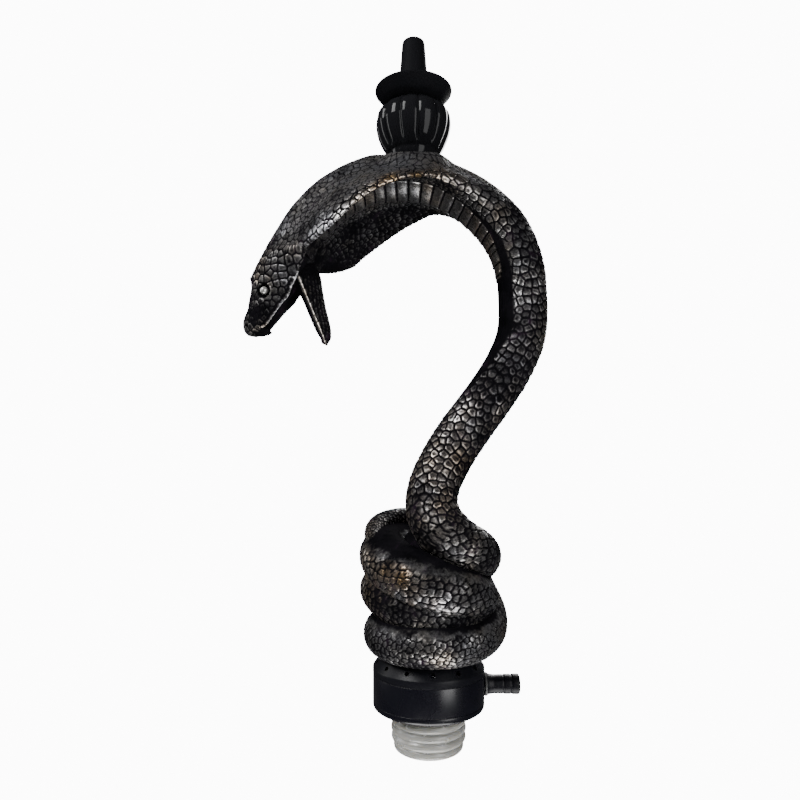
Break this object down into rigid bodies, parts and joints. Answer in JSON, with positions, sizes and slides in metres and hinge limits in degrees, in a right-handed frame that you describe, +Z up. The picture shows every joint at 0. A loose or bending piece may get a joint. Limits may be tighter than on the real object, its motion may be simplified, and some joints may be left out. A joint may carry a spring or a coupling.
{
  "type": "hookah stem",
  "caption": "Hookah stem cast as a coiled, hooded cobra with a fluted bulb and bowl port on its arched back, on a purge-valve collar with a hose port and a ribbed stopper.",
  "frame": {"origin": "centre of the collar's underside, where it rests on the rim of a water vase", "axes": "+Z up along the collar's axis, +X the way the hose port points; the cobra's arch lies in the XZ plane and its head faces -X"},
  "size_m": [0.1876, 0.0978, 0.4409],
  "materials": {
    "resin": "black resin, dry-brushed antique silver and bronze",
    "eye": "silvered bead",
    "anodised": "satin black anodised",
    "glaze": "gloss black",
    "steel": "turned",
    "seal": "matt",
    "silicone": "milky translucent silicone",
    "ball": "polished"
  },
  "bodies": {
    "stem": {"snake_casting": "resin", "eye_left": "eye", "eye_right": "eye", "smoke_tube": "silicone", "foot_insert": "steel", "back_insert": "steel", "stem_heart": "steel", "dip_socket": "steel", "valve_plate": "steel", "clamp_nipple": "steel", "collar_base": "anodised", "collar_sleeve": "anodised", "vent_cap": "anodised", "hose_port": "anodised", "dish": "anodised", "bowl_port": "anodised", "fluted_bulb": "glaze", "base_seal": "seal", "cap_seal": "seal", "hose_port_seal": "seal", "bulb_gasket": "seal", "dish_gasket": "seal", "port_gasket": "seal"},
    "stopper": {"stopper": "silicone"},
    "purge_ball_1": {"purge_ball_1": "ball"},
    "purge_ball_2": {"purge_ball_2": "ball"},
    "purge_ball_3": {"purge_ball_3": "ball"},
    "purge_ball_4": {"purge_ball_4": "ball"}
  },
  "joints": [
    {"name": "stopper_pull", "type": "slide", "parent": "stem", "child": "stopper", "axis": [0, 0, -1], "range_m": [0, 0.026]},
    {"name": "purge_lift_1", "type": "slide", "parent": "stem", "child": "purge_ball_1", "axis": [0, 0, 1], "range_m": [0, 0.002]},
    {"name": "purge_lift_2", "type": "slide", "parent": "stem", "child": "purge_ball_2", "axis": [0, 0, 1], "range_m": [0, 0.002]},
    {"name": "purge_lift_3", "type": "slide", "parent": "stem", "child": "purge_ball_3", "axis": [0, 0, 1], "range_m": [0, 0.002]},
    {"name": "purge_lift_4", "type": "slide", "parent": "stem", "child": "purge_ball_4", "axis": [0, 0, 1], "range_m": [0, 0.002]}
  ]
}
